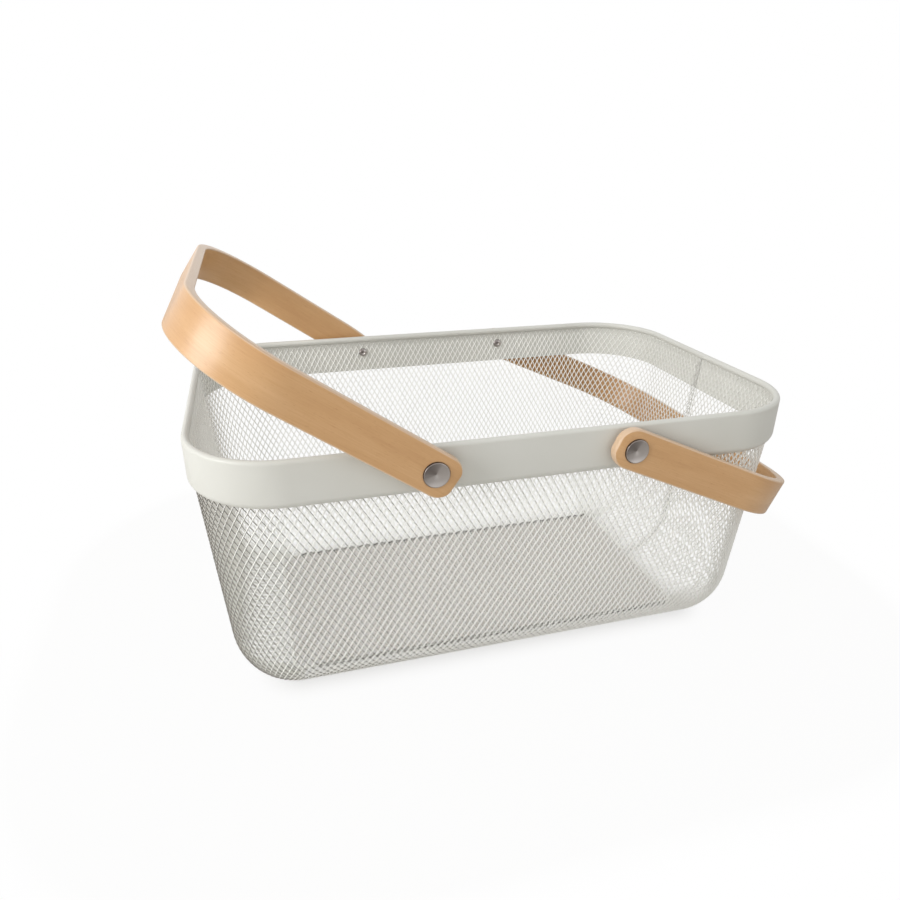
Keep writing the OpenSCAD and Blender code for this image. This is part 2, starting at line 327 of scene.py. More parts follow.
def powder_coat(name, colour, darker, peel, roughness):
    material, board = new_material(name)
    place = board.add("ShaderNodeTexCoord", output="Object")
    cloudy, grainy = noise(board, place, 22, 3), noise(board, place, 1400, 2)
    tone = ramp(board, cloudy, (0.3, darker), (0.7, colour))
    # Painted shade: the attribute "cut" covers the strands' cut sides with a dark brown-grey, by
    # its share.
    cut = board.add("ShaderNodeAttribute", {"attribute_name": "cut"}, output="Fac")
    finish_material(
        board, colour=covered(board, cut * 0.95, tone, linear(102, 97, 89)),
        roughness=roughness + 0.08 * cloudy, specular=0.4, normal=bump(board, grainy, peel, 0.0002))
    return material


# The copies of the one coat differ in brightness: the mesh's is lighter than the band's, a painted
# light on the thin strands, and the floor panel's is darker than the mesh's, a painted shade inside
# the basket.
BAND_PAINT = powder_coat("band_paint", linear(218, 218, 212), linear(213, 213, 206), 0.12, 0.36)
LIT_MESH_PAINT = powder_coat("mesh_paint", linear(252, 252, 248), linear(247, 247, 243), 0.2, 0.42)
SHADED_FLOOR_PAINT = powder_coat("shaded_floor_paint", linear(216, 211, 204), linear(208, 203, 196), 0.2, 0.5)
print("paints:", BAND_PAINT.name, LIT_MESH_PAINT.name, SHADED_FLOOR_PAINT.name)

# %% [markdown]
# ## The path round the basket and the section of the sheet
# The wall mesh follows two lines. The path runs once round the plan, from the seam at the middle
# of the right end. The section runs down the sheet: a straight leaning wall, then the arc of the
# foot. Any point of the sheet is a step along the path and a step down the section.

# %% Path and section
ARC_Z = FOOT_RADIUS * math.cos(FOOT_SLOPE) + HALF_CAD_SHEET
WALL_RUN = (MESH_TOP_Z - ARC_Z + FOOT_RADIUS * math.sin(WALL_LEAN)) / math.cos(WALL_LEAN)
WALL_FOOT_RADIUS = MESH_TOP_RADIUS - WALL_RUN * math.sin(WALL_LEAN)
ARC_RADIUS = WALL_FOOT_RADIUS - FOOT_RADIUS * math.cos(WALL_LEAN)
FOOT_RUN = FOOT_RADIUS * (math.pi / 2 - WALL_LEAN - FOOT_SLOPE)
FOOT_END_RADIUS = ARC_RADIUS + FOOT_RADIUS * math.sin(FOOT_SLOPE)


def section_point(run, offset=0):
    """Radius and height of the sheet, a run down it and an offset outwards."""
    if run <= WALL_RUN:
        return (MESH_TOP_RADIUS - run * math.sin(WALL_LEAN) + offset * math.cos(WALL_LEAN),
                MESH_TOP_Z - run * math.cos(WALL_LEAN) - offset * math.sin(WALL_LEAN))
    angle = WALL_LEAN + (run - WALL_RUN) / FOOT_RADIUS
    return (ARC_RADIUS + (FOOT_RADIUS + offset) * math.cos(angle),
            ARC_Z - (FOOT_RADIUS + offset) * math.sin(angle))


def round_path(radius, corner_steps):
    """Points and outward directions once round the plan, from the middle of the right end."""
    spots = [(Vector((CENTRE_X + radius, 0)), Vector((1, 0)))]
    for quarter, (side_x, side_y) in enumerate(((1, 1), (-1, 1), (-1, -1), (1, -1))):
        centre = Vector((side_x * CENTRE_X, side_y * CENTRE_Y))
        for i in range(corner_steps + 1):
            angle = (quarter + i / corner_steps) * math.pi / 2
            out = Vector((math.cos(angle), math.sin(angle)))
            spots.append((centre + out * radius, out))
    return spots


def path_length(spots, closed=False):
    spots = [Vector(spot) for spot in spots]
    pairs = zip(spots, spots[1:] + spots[:1] if closed else spots[1:])
    return sum((b - a).length for a, b in pairs)


print("wall run", round(WALL_RUN, 1), "foot run", round(FOOT_RUN, 1), "mm")

# %% [markdown]
# ## From points to pieces
# Every piece that isn't made by nodes comes from lists of points and faces. Its edges stay sharp
# where it turns by more than 40 degrees, and its faces are turned outwards.

# %% Points and faces made into a piece
SHARP_ABOVE = math.radians(40)


def new_object(name, verts, faces, material):
    data = bpy.data.meshes.new(name)
    data.from_pydata([Vector(v) * MM for v in verts], [], faces)
    data.materials.append(material)
    data.shade_smooth()
    data.set_sharp_from_angle(angle=SHARP_ABOVE)
    made = bpy.data.objects.new(name, data)
    scene.collection.objects.link(made)
    return made


def make_outward(data, merge_within=0):
    shape = bmesh.new()
    shape.from_mesh(data)
    if merge_within:
        bmesh.ops.remove_doubles(shape, verts=shape.verts, dist=merge_within)
    bmesh.ops.recalc_face_normals(shape, faces=shape.faces)
    shape.to_mesh(data)
    shape.free()


def run_modifiers(maker, name):
    """The piece as its modifiers leave it, kept as a plain mesh without them."""
    bpy.context.view_layer.update()
    evaluated = maker.evaluated_get(bpy.context.evaluated_depsgraph_get())
    data = bpy.data.meshes.new_from_object(evaluated)
    data.name = name
    made = bpy.data.objects.new(name, data)
    scene.collection.objects.link(made)
    bpy.data.objects.remove(maker)
    return made


print("edges stay sharp above", round(math.degrees(SHARP_ABOVE)), "degrees")

# %% [markdown]
# ## Expanded metal
# Expanded metal is a sheet that is slit and pulled open. The slits run upright here, so each
# diamond is taller than it is wide. Pulling also tilts every junction, one side out and the other
# in, so that strands that lean one way face the light and those that lean the other way face
# down. A Geometry Nodes tree makes it: diamonds are set out in two shifted grids, each is inset
# to a ring, the rings are tilted, and the flat sheet is then bent along the path and the section.

# %% Diamonds, set out flat and tilted
DIAMOND_INPUTS = [
    ("Columns", "NodeSocketInt"), ("Rows", "NodeSocketInt"), ("Half Width", "NodeSocketFloat"),
    ("Half Height", "NodeSocketFloat"), ("Share", "NodeSocketFloat"), ("Tilt", "NodeSocketFloat"),
    ("Material", "NodeSocketMaterial")]
WELD_FLAT, WELD_BENT = 0.0001, 0.00005


def new_tree(name, inputs):
    tree = bpy.data.node_groups.new(name, "GeometryNodeTree")
    tree.interface.new_socket("Geometry", in_out="OUTPUT", socket_type="NodeSocketGeometry")
    for label, kind in inputs:
        tree.interface.new_socket(label, in_out="INPUT", socket_type=kind)
    board = Board(tree)
    entry = tree.nodes.new("NodeGroupInput")
    wires = {label: Wire(board, entry.outputs[label]) for label, kind in inputs}
    return tree, board, wires


def moved(board, geometry, **places):
    """A Set Position node, told a Position or an Offset."""
    return board.add("GeometryNodeSetPosition", inputs={"Geometry": geometry, **places})


def welded(board, geometry, distance):
    return board.add(
        "GeometryNodeMergeByDistance", inputs={"Geometry": geometry, "Distance": distance})


def diamond_centres(board, given):
    """Two grids of points, one set in the gaps of the other."""
    half_w, half_h, across = given["Half Width"], given["Half Height"], given["Columns"]
    grids = []
    for extra in (0, 1):
        along = given["Rows"] + extra
        grid = board.add("GeometryNodeMeshGrid", inputs={
            "Size X": (across - 1) * half_w * 2, "Size Y": (along - 1) * half_h * 2,
            "Vertices X": across, "Vertices Y": along})
        shift = join_parts(board, half_w * (across - extra), half_h * (-1 - given["Rows"]), 0)
        grids.append(board.add(
            "GeometryNodeTransform", inputs={"Geometry": grid, "Translation": shift}))
    points = board.add("GeometryNodeJoinGeometry")
    for grid in grids:
        board.tree.links.new(grid.socket, points.socket.node.inputs[0])
    return points


def flat_diamonds(board, given):
    """A diamond on each centre, inset to a ring that leaves its opening free."""
    size = join_parts(board, given["Half Width"], given["Half Height"], 1)
    ring = board.add("GeometryNodeMeshCircle", {"fill_type": "NGON"}, {"Vertices": 4, "Radius": 1})
    ring = board.add("GeometryNodeTransform", inputs={"Geometry": ring, "Scale": size})
    spread = board.add("GeometryNodeInstanceOnPoints", inputs={
        "Points": diamond_centres(board, given), "Instance": ring})
    sheet = welded(board, board.add("GeometryNodeRealizeInstances", inputs=[spread]), WELD_FLAT)
    inset = board.add("GeometryNodeExtrudeMesh", {"mode": "FACES"}, {
        "Mesh": sheet, "Offset Scale": 0, "Individual": True})
    top = inset.out("Top")
    scaled = board.add("GeometryNodeScaleElements", inputs={
        "Geometry": inset, "Selection": top, "Scale": 1 - given["Share"]})
    return board.add("GeometryNodeDeleteGeometry", {"domain": "FACE"}, {
        "Geometry": scaled, "Selection": top})


def tilted(board, sheet, given):
    """Raises the right-hand side of each junction and sinks its left-hand side."""
    x, unused, unused = split(board, board.add("GeometryNodeInputPosition"))
    steps = x / given["Half Width"]
    lift = (steps - steps.apply("ROUND")) / given["Share"] * given["Tilt"]
    return moved(board, sheet, Offset=join_parts(board, 0, 0, lift))


def finish_tree(board, geometry, given):
    geometry = board.add("GeometryNodeRealizeInstances", inputs=[geometry])
    geometry = board.add("GeometryNodeSetMaterial", inputs={
        "Geometry": geometry, "Material": given["Material"]})
    board.add("NodeGroupOutput", inputs=[geometry])


print("a diamond takes", len(DIAMOND_INPUTS), "inputs")

# %% [markdown]
# ### Bending the flat sheet
# The flat sheet's x becomes the run along the path, its -y the run down the section and its z the
# offset outwards. The path is drawn at one radius, where the diamonds are counted, and each point
# then moves out or in to the radius that the section gives.

# %% Tree for the bent sheet
SHEET_INPUTS = DIAMOND_INPUTS + [
    ("Path", "NodeSocketObject"), ("Path Radius", "NodeSocketFloat"),
    ("Section", "NodeSocketObject")]


def sampled(board, curve_object, run):
    """The place on a curve, a run along it."""
    curve = board.add("GeometryNodeObjectInfo", inputs=[curve_object], output="Geometry")
    return board.add("GeometryNodeSampleCurve", {"mode": "LENGTH"}, {
        "Curves": curve, "Length": run}, "Position")


def bent(board, sheet, given):
    x, y, z = split(board, board.add("GeometryNodeInputPosition"))
    along, down = sampled(board, given["Path"], x), sampled(board, given["Section"], 0 - y)
    path_x, path_y, unused = split(board, along)
    ahead_x, ahead_y, unused = split(board, along.out("Tangent"))
    radius, unused, height = split(board, down)
    fall_x, unused, fall_z = split(board, down.out("Tangent"))
    out = radius - given["Path Radius"] - fall_z * z
    return moved(board, sheet, Position=join_parts(
        board, path_x + ahead_y * out, path_y - ahead_x * out, height + fall_x * z))


def expanded_sheet_tree():
    tree, board, given = new_tree("expanded_sheet", SHEET_INPUTS)
    sheet = tilted(board, flat_diamonds(board, given), given)
    finish_tree(board, welded(board, bent(board, sheet, given), WELD_BENT), given)
    return tree


SHEET_TREE = expanded_sheet_tree()
print(SHEET_TREE.name, "has", len(SHEET_TREE.nodes), "nodes")

# %% [markdown]
# ### Running a tree
# The tree runs on an empty mesh, Solidify gives the sheet its thickness, and the result is kept
# as a plain mesh. The strands' cut sides get painted shade: dark on the sides that face outward,
# and much lighter on those that face inward.

# %% Sheets made by a tree
DIAMOND_W, DIAMOND_H, STRAND, SHEET, TILT = 4.4, 7.7, 0.52, 0.5, 0.44
PATH_STEPS = 60


def made_by_tree(name, tree, values):
    maker = bpy.data.objects.new(name + "_maker", bpy.data.meshes.new(name + "_start"))
    scene.collection.objects.link(maker)
    modifier = maker.modifiers.new("nodes", "NODES")
    modifier.node_group = tree
    for item in tree.interface.items_tree:
        if item.in_out == "INPUT":
            modifier[item.identifier] = values[item.name]
    solid = maker.modifiers.new("sheet", "SOLIDIFY")
    solid.thickness, solid.offset = SHEET * MM, 0
    made = run_modifiers(maker, name)
    made.data.calc_loop_triangles()
    print(name, len(made.data.loop_triangles), "triangles")
    return made


def diamond_values(columns, rows, half_w, half_h, tilt, material):
    """What every tree of diamonds is told, with the strand's share of a half diamond."""
    share = STRAND * math.hypot(half_w, half_h) / (2 * half_w * half_h)
    return {"Columns": columns, "Rows": rows, "Half Width": half_w * MM, "Half Height": half_h * MM,
            "Share": share, "Tilt": tilt * MM, "Material": material}


def lines_as_curve(name, points, closed=False):
    data = bpy.data.curves.new(name, "CURVE")
    data.dimensions = "3D"
    spline = data.splines.new("POLY")
    spline.points.add(len(points) - 1)
    for point, place in zip(spline.points, points):
        point.co = (*(Vector(place) * MM), 1)
    spline.use_cyclic_u = closed
    made = bpy.data.objects.new(name, data)
    scene.collection.objects.link(made)
    return made


def bent_sheet(name, radius, route, closed, columns, half_w, section, rows):
    """Diamonds along a route that lies at a radius, and down a section of (radius, height)."""
    half_h = path_length(section) / rows / 2
    path = lines_as_curve("path", [(x, y, 0) for x, y in route], closed)
    profile = lines_as_curve("section", [(r, 0, z) for r, z in section])
    sheet = made_by_tree(name, SHEET_TREE, {
        **diamond_values(columns, rows - 1, half_w, half_h, TILT, LIT_MESH_PAINT),
        "Path": path, "Path Radius": radius * MM, "Section": profile})
    bpy.data.objects.remove(path)
    bpy.data.objects.remove(profile)
    return sheet


def strip_all_round(name, radius, section, rows):
    """A strip that closes on itself, so the number of its columns is rounded."""
    route = [spot for spot, out in round_path(radius, PATH_STEPS)]
    around = path_length(route, closed=True)
    columns = round(around / DIAMOND_W)
    return bent_sheet(name, radius, route, True, columns, around / columns / 2, section, rows)


def paint_shade_on_cut_sides(data, shade_facing_out, shade_facing_in):
    """Paints shade on the cut sides, one darkness for those that face outward and one for those
    that face inward. Solidify lists one skin's points and then the other's, so a cut side is a face
    that has points of both."""
    half, cut = len(data.vertices) // 2, []
    for face in data.polygons:
        place = face.center / MM
        from_middle = place.xy - Vector((
            max(min(place.x, CENTRE_X), -CENTRE_X), max(min(place.y, CENTRE_Y), -CENTRE_Y)))
        out = from_middle * (1 - ARC_RADIUS / from_middle.length)
        joins_skins = len({vertex < half for vertex in face.vertices}) == 2
        looks_out = face.normal.dot((*out, min(place.z - ARC_Z, 0))) > 0
        cut.append(joins_skins * (shade_facing_out if looks_out else shade_facing_in))
    data.attributes.new("cut", "FLOAT", "FACE").data.foreach_set("value", cut)
    print("cut sides", sum(map(bool, cut)), "of", len(cut))


print("a diamond is about", DIAMOND_W, "by", DIAMOND_H, "mm")

# %% [markdown]
# ### Wall mesh
# One strip goes right round and meets itself at the seam. A diamond is about 4.4 mm wide. The
# strip starts a little above the CAD's mesh, under the bead, and runs down to the foot's end.

# %% Wall mesh
WALL_RADIUS, WALL_ROWS, MESH_RISE = 46, 24, 2
WALL_STEPS, FOOT_STEPS = 4, 24
RUNS = [-MESH_RISE + (WALL_RUN + MESH_RISE) * i / WALL_STEPS for i in range(WALL_STEPS + 1)]
RUNS += [WALL_RUN + FOOT_RUN * i / FOOT_STEPS for i in range(1, FOOT_STEPS + 1)]

wall_section = [section_point(run) for run in RUNS]
wall_mesh = strip_all_round("wall_mesh", WALL_RADIUS, wall_section, WALL_ROWS)
# Painted shade on the cut sides: full on those that face outward, a fifth on those that face
# inward.
paint_shade_on_cut_sides(wall_mesh.data, 1.0, 0.2)
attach(wall_mesh, "basket")
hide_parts(*[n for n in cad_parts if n.startswith(("wall_mesh", "foot_mesh"))])

# %% [markdown]
# ### Seam
# The two ends of the wall strip overlap at the middle of the right end, where they are
# spot-welded. One more column of diamonds from the same tree lies on the inside, a little out of
# step, so that the seam looks denser and a little uneven.

# %% Overlap at the seam
SEAM_INSET, SEAM_PAINTED_SHADE = 0.9, 0.45


def seam_overlap():
    half_w, x = DIAMOND_W / 2, CENTRE_X + WALL_RADIUS
    route = [(x, half_w * 0.6), (x, half_w * 4)]
    section = [section_point(run, -SEAM_INSET) for run in RUNS]
    return bent_sheet("seam_overlap", WALL_RADIUS, route, False, 1, half_w, section, WALL_ROWS)


seam = seam_overlap()
# Painted shade on the seam's cut sides, the same on both sides, so the overlap reads as dark lines.
paint_shade_on_cut_sides(seam.data, SEAM_PAINTED_SHADE, SEAM_PAINTED_SHADE)
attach(seam, "basket")
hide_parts("seam_strip")

# %% [markdown]
# ### Floor panel
# The floor is a flat piece of the same mesh. The tree sets out the same diamonds, removes those
# that lie well outside the outline, and draws the points that still stick out back onto it, which
# trims the strands as a shear would.

# %% Tree for the floor panel
FLOOR_INPUTS = DIAMOND_INPUTS + [
    ("Corner X", "NodeSocketFloat"), ("Corner Y", "NodeSocketFloat"),
    ("Edge Radius", "NodeSocketFloat"), ("Height", "NodeSocketFloat")]


def floor_panel_tree():
    tree, board, given = new_tree("floor_panel", FLOOR_INPUTS)
    sheet = tilted(board, flat_diamonds(board, given), given)
    middle = join_parts(board, given["Half Width"] * (0 - given["Columns"]),
                        given["Half Height"] * (1 + given["Rows"]), given["Height"])
    sheet = board.add("GeometryNodeTransform", inputs={"Geometry": sheet, "Translation": middle})
    x, y, z = split(board, board.add("GeometryNodeInputPosition"))
    near_x = x.at_most(given["Corner X"]).at_least(0 - given["Corner X"])
    near_y = y.at_most(given["Corner Y"]).at_least(0 - given["Corner Y"])
    out_x, out_y = x - near_x, y - near_y
    reach = length_of(out_x, out_y)
    beyond = reach.apply("GREATER_THAN", given["Edge Radius"] + given["Half Width"] * 0.7)
    sheet = board.add("GeometryNodeDeleteGeometry", {"domain": "FACE"}, {
        "Geometry": sheet, "Selection": beyond})
    shrink = (given["Edge Radius"] / reach.at_least(0.0001)).at_most(1)
    place = join_parts(board, near_x + out_x * shrink, near_y + out_y * shrink, z)
    finish_tree(board, welded(board, moved(board, sheet, Position=place), WELD_BENT), given)
    return tree


FLOOR_TREE = floor_panel_tree()
print(FLOOR_TREE.name, "has", len(FLOOR_TREE.nodes), "nodes")

# %% [markdown]
# ### The floor's folded edge
# The panel's edge is folded up inside the foot. The fold and the lip of the foot that it touches
# are two low strips, one diamond high, which close round the panel.

# %% Floor panel, its fold and the foot's lip
EDGE_RADIUS = FOOT_END_RADIUS - 0.2
FLOOR_Z, FLOOR_TILT, FOLD_RADIUS = 0.65, 0.3, 6
FOLD_SECTION = [(EDGE_RADIUS - 0.4, 3.0), (EDGE_RADIUS - 0.4, 0.6)]
LIP_SECTION = [(EDGE_RADIUS + 0.6, 3.2), (EDGE_RADIUS + 0.4, 0.8)]
floor_columns = 2 * math.ceil((CENTRE_X + EDGE_RADIUS) / DIAMOND_W) + 1
floor_rows = 2 * math.ceil((CENTRE_Y + EDGE_RADIUS) / DIAMOND_H)

floor_panel = made_by_tree("floor_panel", FLOOR_TREE, {
    **diamond_values(
        floor_columns, floor_rows, DIAMOND_W / 2, DIAMOND_H / 2, FLOOR_TILT, SHADED_FLOOR_PAINT),
    "Corner X": CENTRE_X * MM, "Corner Y": CENTRE_Y * MM, "Edge Radius": EDGE_RADIUS * MM,
    "Height": FLOOR_Z * MM})
floor_fold = strip_all_round("floor_fold", FOLD_RADIUS, FOLD_SECTION, 1)
foot_lip = strip_all_round("foot_lip", FOLD_RADIUS, LIP_SECTION, 1)
for piece in (floor_panel, floor_fold, foot_lip):
    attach(piece, "basket")
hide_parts("floor_mesh")

# %% [markdown]
# ### The dark line between the layers
# The gap between the folded edge and the foot lies in deep shade. Two thin dark strips there are
# painted shade with a patchy tone; seen through the mesh, they make a dark broken line along each
# long side of the floor.

# %% Painted shade in the fold
GAP_INNER, GAP_OUTER, GAP_LOW, GAP_HIGH = -0.1, 0.15, 0.2, 2.7
GAP_LEFT, GAP_RIGHT = -CENTRE_X + 7, CENTRE_X + 2
BOX_FACES = [(0, 1, 2, 3), (7, 6, 5, 4), (0, 4, 5, 1), (1, 5, 6, 2), (2, 6, 7, 3), (3, 7, 4, 0)]


def gap_shade_paint():
    # Painted shade: a dark brown-grey with a patchy tone and a little metal, for the shaded gap.
    material, board = new_material("gap_shade_paint")
    patchy = noise(board, board.add("ShaderNodeTexCoord", output="Object"), 300, 3)
    tone = ramp(board, patchy, (0.35, linear(48, 42, 36)), (0.7, linear(84, 74, 64)))
    finish_material(board, colour=tone, roughness=0.55 + 0.2 * patchy, metallic=0.3)
    return material


def fold_gap():
    """Two thin dark strips of painted shade, upright, one along each long side, between the fold
    and the foot.
    """
    verts, faces = [], []
    for side in (-1, 1):
        near, far = (side * (CENTRE_Y + EDGE_RADIUS + offset) for offset in (GAP_INNER, GAP_OUTER))
        faces += [tuple(len(verts) + k for k in face) for face in BOX_FACES]
        for x in (GAP_LEFT, GAP_RIGHT):
            verts += [(x, near, GAP_LOW), (x, far, GAP_LOW)]
            verts += [(x, far, GAP_HIGH), (x, near, GAP_HIGH)]
    return new_object("fold_gap", verts, faces, gap_shade_paint())


gap = fold_gap()
make_outward(gap.data)
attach(gap, "basket")
# The two strips are painted shade in the gap.
print("two strips of bare steel,", GAP_RIGHT - GAP_LEFT, "mm long")

# %% [markdown]
# ## Rim band
# The band is a strip of sheet steel. Its top is rolled into a bead, and its lower edge turns in to
# the mesh. Paint fills the narrow wedge between them, so the mesh lies half sunk in the band's
# inner face. The section is drawn once, as radius and height, and carried round the path.

# %% Section of the band, swept round
BEAD_RADIUS, TURN_IN_RADIUS, TURN_IN_ANGLE, WEDGE_INSET = 2.2, 5, 72, 0.3
BAND_STEPS = 48


def arc(centre, radius, first, last, steps):
    angles = [math.radians(first + (last - first) * i / steps) for i in range(steps + 1)]
    return [(centre[0] + radius * math.cos(a), centre[1] + radius * math.sin(a)) for a in angles]


def band_outline():
    turn_z = HEIGHT - BAND_HEIGHT + TURN_IN_RADIUS * math.sin(math.radians(TURN_IN_ANGLE))
    bead_at = (CORNER_RADIUS - BEAD_RADIUS, HEIGHT - BEAD_RADIUS)
    wedge_top = MESH_TOP_RADIUS + WEDGE_INSET
    meets = -math.degrees(math.acos((wedge_top - bead_at[0]) / BEAD_RADIUS))
    turn_at = (CORNER_RADIUS - TURN_IN_RADIUS, turn_z)
    bead = arc(bead_at, BEAD_RADIUS, 0, 360 + meets, 20)
    return bead + arc(turn_at, TURN_IN_RADIUS, -TURN_IN_ANGLE, 0, 8)


def sweep_outline(name, outline, material):
    """Carries a closed outline of (radius, height) points once round the basket."""
    path = round_path(0, BAND_STEPS)
    verts, faces, n = [], [], len(outline)
    for spot, out in path:
        verts += [(spot.x + out.x * r, spot.y + out.y * r, z) for r, z in outline]
    for i in range(len(path)):
        j = (i + 1) % len(path)
        for k in range(n):
            m = (k + 1) % n
            faces.append((i * n + k, j * n + k, j * n + m, i * n + m))
    return new_object(name, verts, faces, material)


rim = sweep_outline("rim", band_outline(), BAND_PAINT)
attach(rim, "basket")
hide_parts("rim_band")
print("band of", len(rim.data.polygons), "faces")

# %% [markdown]
# ## Beech
# The handles are bent from thin layers of beech. The grain runs along the strap and follows its
# bends, so the pattern reads a UV map that is unrolled along the strap, in centimetres. There are
# slow changes of tone, fine lines and the short brown flecks that mark beech. Faint ripples in
# the lacquer break up the gloss where the strap bends. The thin sides and the tips are paler, a
# painted sheen where they catch the light of the sky.


# %% Lacquered beech
def beech():
    material, board = new_material("lacquered_beech")
    along, across, unused = split(board, board.add("ShaderNodeUVMap", {"uv_map": "grain"}))

    def streaks(scale_along, scale_across, detail):
        place = join_parts(board, along * scale_along, across * scale_across, 0)
        return noise(board, place, 1, detail)

    slow, lines = streaks(0.12, 0.9, 3), streaks(0.5, 16, 4)
    flecks, ripples = streaks(2.6, 26, 1), streaks(1.2, 2.4, 2)
    tone = ramp(board, slow * 0.6 + lines * 0.4, (0.30, linear(197, 150, 101)),
                (0.50, linear(207, 162, 112)), (0.70, linear(216, 174, 126)))
    face = covered(board, flecks.step_between(0.66, 0.74) * 0.5, tone, linear(176, 122, 72))
    # Painted sheen: where "edge" is set, a pale, less orange colour covers seven tenths of the
    # wood.
    edge = board.add("ShaderNodeAttribute", {"attribute_name": "edge"}, output="Fac")
    finish_material(
        board, colour=covered(board, edge * 0.7, face, linear(222, 196, 168)),
        roughness=0.3 + 0.16 * lines, coat=0.6, coat_roughness=0.3, specular=0.35,
        normal=bump(board, ripples * 0.6 + lines * 0.4, 0.45, 0.0005))
    return material


BEECH = beech()
print(BEECH.name, "has", len(BEECH.node_tree.nodes), "nodes")

# %% [markdown]
# ## Bent handles
# A handle is a flat strap bent twice to a long U. The mesh is a row of rings along the centre
# line. Each ring is a rectangle with soft corners. Near a tip the rings shrink along the rounded
# corners of the strap's end, first in width and then in thickness, which also softens the end.

# %% Centre line and rings of a strap
REACH, HALF_WIDTH, BEND = 150.35, 125.85, 58.5
STRAP_W, STRAP_T, TIP, SOFT = 25, 5.75, 13.4, 1.1
STRAIGHT, TURN_RADIUS = TIP + REACH - BEND, BEND - STRAP_T / 2
TURN, CROSS = TURN_RADIUS * math.pi / 2, 2 * (HALF_WIDTH - BEND)
STRAP_RUN = 2 * STRAIGHT + 2 * TURN + CROSS
TIP_STATIONS = [0, 0.1, 0.3, 0.6, 1.1, 1.8, 2.7, 3.8, 5.2, 7, 9, 12]


def strap_place(run):
    """Place and heading on the centre line of a level strap that points along +X."""
    if run > STRAP_RUN / 2:
        spot, heading = strap_place(STRAP_RUN - run)
        return Vector((spot.x, -spot.y)), math.pi - heading
    if run <= STRAIGHT:
        return Vector((run - TIP, STRAP_T / 2 - HALF_WIDTH)), 0
    if run <= STRAIGHT + TURN:
        angle = (run - STRAIGHT) / TURN_RADIUS
        centre = Vector((REACH - BEND, BEND - HALF_WIDTH))
        return centre + Vector((math.sin(angle), -math.cos(angle))) * TURN_RADIUS, angle
    return Vector((REACH - STRAP_T / 2, BEND - HALF_WIDTH + run - STRAIGHT - TURN)), math.pi / 2


def softened(distance, radius):
    """How much a round corner of a radius takes off, at a distance from the tip."""
    gap = max(radius - distance, 0)
    return radius - math.sqrt(max(radius * radius - gap * gap, 0))


def strap_stations():
    last = TIP_STATIONS[-1]
    straight = [last + (STRAIGHT - last) * i / 12 for i in range(1, 13)]
    turn = [STRAIGHT + TURN * i / 24 for i in range(1, 25)]
    cross = [STRAIGHT + TURN + CROSS / 2 * i / 6 for i in range(1, 6)]
    first = TIP_STATIONS + straight + turn + cross
    return first + [STRAP_RUN / 2] + [STRAP_RUN - run for run in reversed(first)]


def ring_outline(half_w, half_t, soft):
    """Points of a rectangle with soft corners, as thickness and width."""
    points = []
    for corner, (sign_t, sign_w) in enumerate(((1, 1), (-1, 1), (-1, -1), (1, -1))):
        for i in range(5):
            angle = (corner + i / 4) * math.pi / 2
            points.append((sign_t * (half_t - soft) + soft * math.cos(angle),
                           sign_w * (half_w - soft) + soft * math.sin(angle)))
    return points


print("strap of", round(STRAP_RUN), "mm in", len(strap_stations()), "rings")

# %% [markdown]
# ### Both straps
# The front ends have the corners that the photograph shows. The back ends are a little rounder,
# shorter and narrower, because nothing of them shows above the rim. A shallow round seat is cut
# for each cap.

# %% Left and right straps
BACK_CORNER, BACK_SHORTER, BACK_NARROWER, BACK_TAPER = 12.2, 1.3, 2.2, 30
SEAT_RADIUS, SEAT_FLOOR, SEAT_TOP, SEAT_STEPS = 7.7, 7.6, 12, 64
INNER_GRAIN = 40


def strap_skin(turn, front_corner):
    """Rings of points along the strap, with the painted sheen on their edges and their places in
    the grain.
    """
    rings, edge_sheen, grain = [], [], []
    for run in strap_stations():
        spot, heading = strap_place(run)
        from_tip, is_back = min(run, STRAP_RUN - run), run >= STRAP_RUN / 2
        half_w = STRAP_W / 2 - softened(from_tip, BACK_CORNER if is_back else front_corner)
        half_t = STRAP_T / 2 - softened(from_tip, SOFT)
        if is_back:
            spot.x += BACK_SHORTER * max(1 - from_tip / TIP, 0)
            half_w -= BACK_NARROWER * max(1 - from_tip / BACK_TAPER, 0) * min(from_tip / 3, 1)
        outward = Vector((math.sin(heading), -math.cos(heading)))
        rings.append([])
        for t, w in ring_outline(half_w, half_t, min(SOFT, half_w - 0.05)):
            place = spot + outward * t
            rings[-1].append(turn @ Vector((place.x, place.y, w)))
            # Painted sheen: the thin sides and the tip are marked for a paler colour.
            edge_sheen.append(1.0 if abs(w) > half_w - 0.9 or from_tip < 1 else 0.0)
            grain.append((run / 10, (w + (INNER_GRAIN if t < 0 else 0)) / 10))
    return rings, edge_sheen, grain


def make_strap(name, body, turn, front_corner):
    rings, edge_sheen, grain = strap_skin(turn, front_corner)
    count, total = len(rings[0]), len(edge_sheen)
    faces = [(i * count + k, i * count + (k + 1) % count,
              (i + 1) * count + (k + 1) % count, (i + 1) * count + k)
             for i in range(len(rings) - 1) for k in range(count)]
    faces += [tuple(range(count)), tuple(reversed(range(total - count, total)))]
    whole = new_object(name + "_uncut", sum(rings, []), faces, BEECH)
    make_outward(whole.data)
    layer = whole.data.uv_layers.new(name="grain")
    for loop in whole.data.loops:
        layer.data[loop.index].uv = grain[loop.vertex_index]
    whole.data.attributes.new("edge", "FLOAT", "POINT").data.foreach_set("value", edge_sheen)
    strap = counterbored(name, whole, turn)
    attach(strap, body)
    return strap


